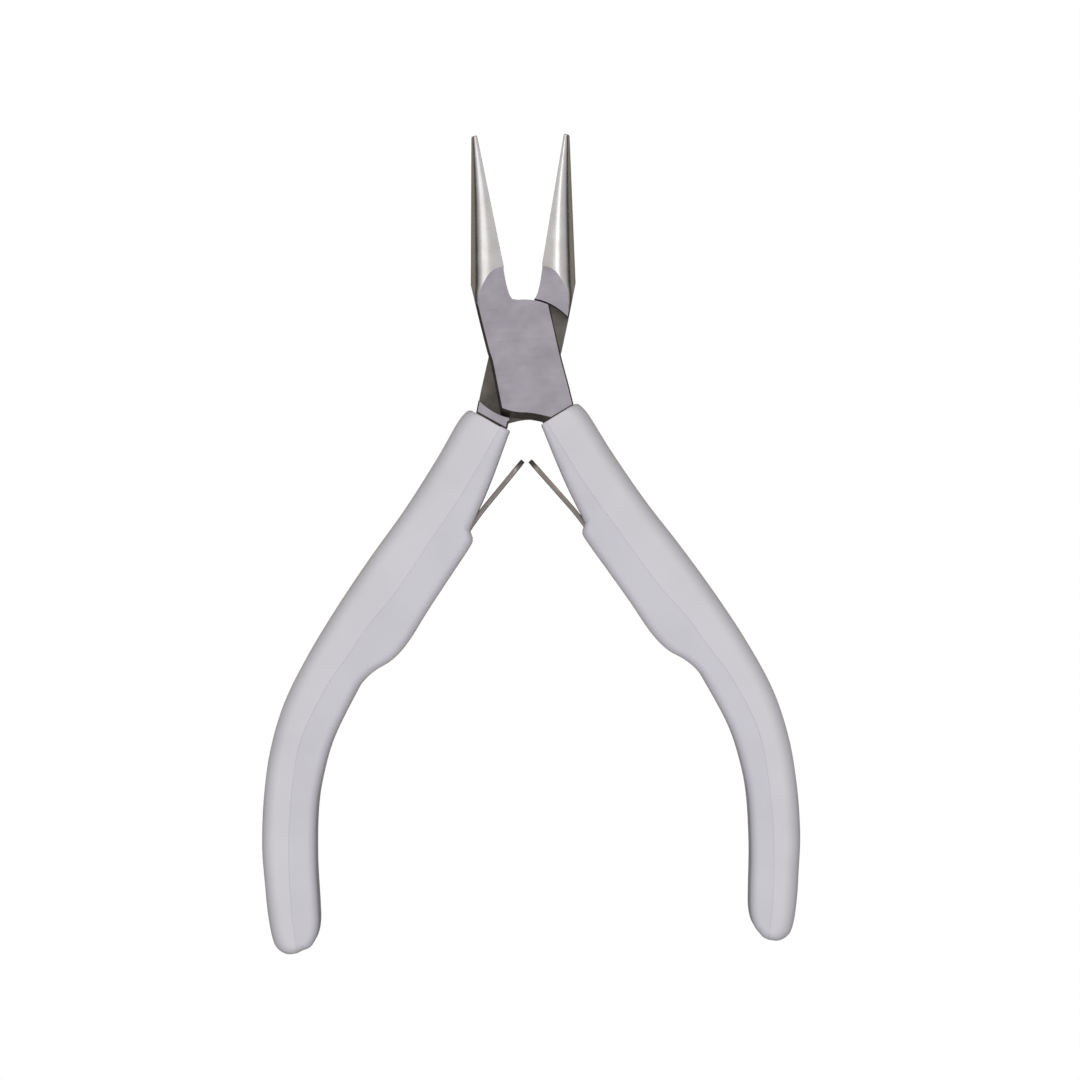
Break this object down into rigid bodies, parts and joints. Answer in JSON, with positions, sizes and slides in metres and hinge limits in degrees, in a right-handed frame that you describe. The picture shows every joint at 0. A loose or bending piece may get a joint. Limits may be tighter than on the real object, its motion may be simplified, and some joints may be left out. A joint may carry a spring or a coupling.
{
  "type": "round nose pliers",
  "caption": "Slim jewellery pliers with tapering half-round jaws, a lap joint, moulded two-part grips and leaf return springs that hold them open.",
  "frame": {"origin": "on the pivot axis, at the flat back face of the lap joint, with the tool at rest in its open pose", "axes": "+Y along the tool's middle line towards the jaw tips, +Z along the pivot axis out of the front plate, +X towards the handle that belongs to the front half"},
  "size_m": [0.0809, 0.1229, 0.01],
  "materials": {
    "joint_steel": "fine satin, polished on the jaws",
    "spring_steel": "rolled spring strip",
    "grip_shell": "moulded, soft sheen",
    "grip_insert": "moulded, soft touch"
  },
  "bodies": {
    "front_side": {"front_half": "joint_steel", "pivot_screw": "joint_steel", "right_grip_shell": "grip_shell", "right_grip_insert": "grip_insert", "right_spring_foot": "spring_steel", "right_spring_pin": "spring_steel"},
    "back_side": {"back_half": "joint_steel", "left_grip_shell": "grip_shell", "left_grip_insert": "grip_insert", "left_spring_foot": "spring_steel", "left_spring_pin": "spring_steel"},
    "left_spring": {"left_spring_leaf": "spring_steel"},
    "right_spring": {"right_spring_leaf": "spring_steel"}
  },
  "joints": [
    {"name": "pivot", "type": "hinge", "parent": "front_side", "child": "back_side", "pos_m": [0, 0, 0.004], "axis": [0, 0, 1], "range_deg": [0, 21.1], "stiffness_Nm_per_rad": 1},
    {"name": "left_spring_bend", "type": "hinge", "parent": "back_side", "child": "left_spring", "pos_m": [-0.00654, -0.02259, 0.004], "axis": [0, 0, 1], "range_deg": [0, 18.8]},
    {"name": "right_spring_bend", "type": "hinge", "parent": "front_side", "child": "right_spring", "pos_m": [0.00654, -0.02259, 0.004], "axis": [0, 0, 1], "range_deg": [-18.8, 0]}
  ],
  "couplings": [
    {"joint": "left_spring_bend", "follows": "pivot", "ratio": 0.885},
    {"joint": "right_spring_bend", "follows": "pivot", "ratio": -0.885}
  ]
}
